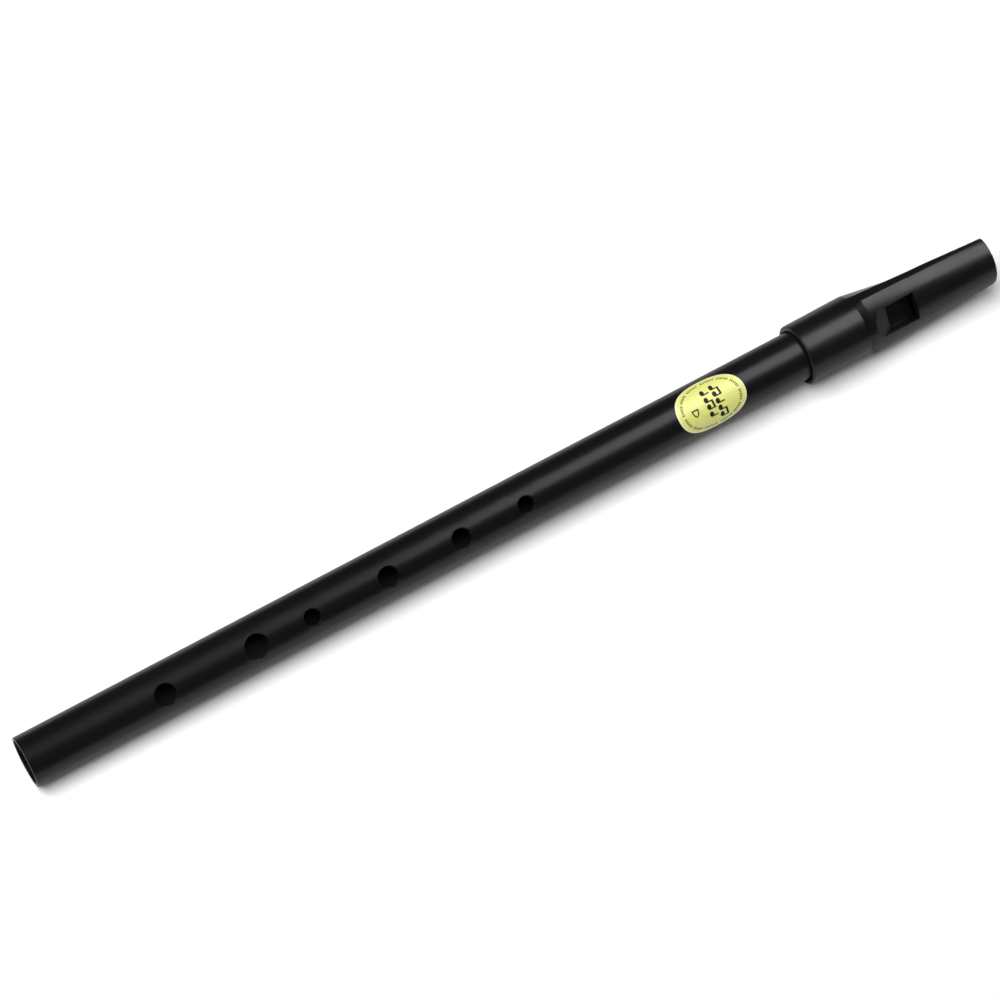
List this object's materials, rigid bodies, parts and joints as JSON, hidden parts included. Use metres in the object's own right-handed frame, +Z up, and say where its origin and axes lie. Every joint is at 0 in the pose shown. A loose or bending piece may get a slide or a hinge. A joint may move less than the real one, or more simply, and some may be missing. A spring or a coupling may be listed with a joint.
{
  "type": "tin whistle",
  "caption": "Straight end-blown whistle: a black tube with finger holes, a sliding moulded head with a window and beak, a fipple plug and an oval label.",
  "frame": {"origin": "the middle of the whistle's length, on the tube's axis", "axes": "+X along the tube from the foot to the beak; +Z up from the table the whistle lies on; the finger holes face 38.5 degrees from +Z towards -Y and the window faces 53.4 degrees from +Z towards -Y"},
  "size_m": [0.3024, 0.0182, 0.0186],
  "materials": {
    "tube_black": "satin black anodised",
    "head_black": "satin black moulded plastic",
    "plug_black": "matte black moulded plastic",
    "label_film": "printed pale yellow-green film"
  },
  "bodies": {
    "whistle_tube": {"tube": "tube_black", "label": "label_film"},
    "whistle_head": {"mouthpiece": "head_black", "fipple_plug": "plug_black"}
  },
  "joints": [
    {"name": "tuning_slide", "type": "slide", "parent": "whistle_tube", "child": "whistle_head", "axis": [1, 0, 0], "range_m": [-0.0015, 0.01]}
  ]
}
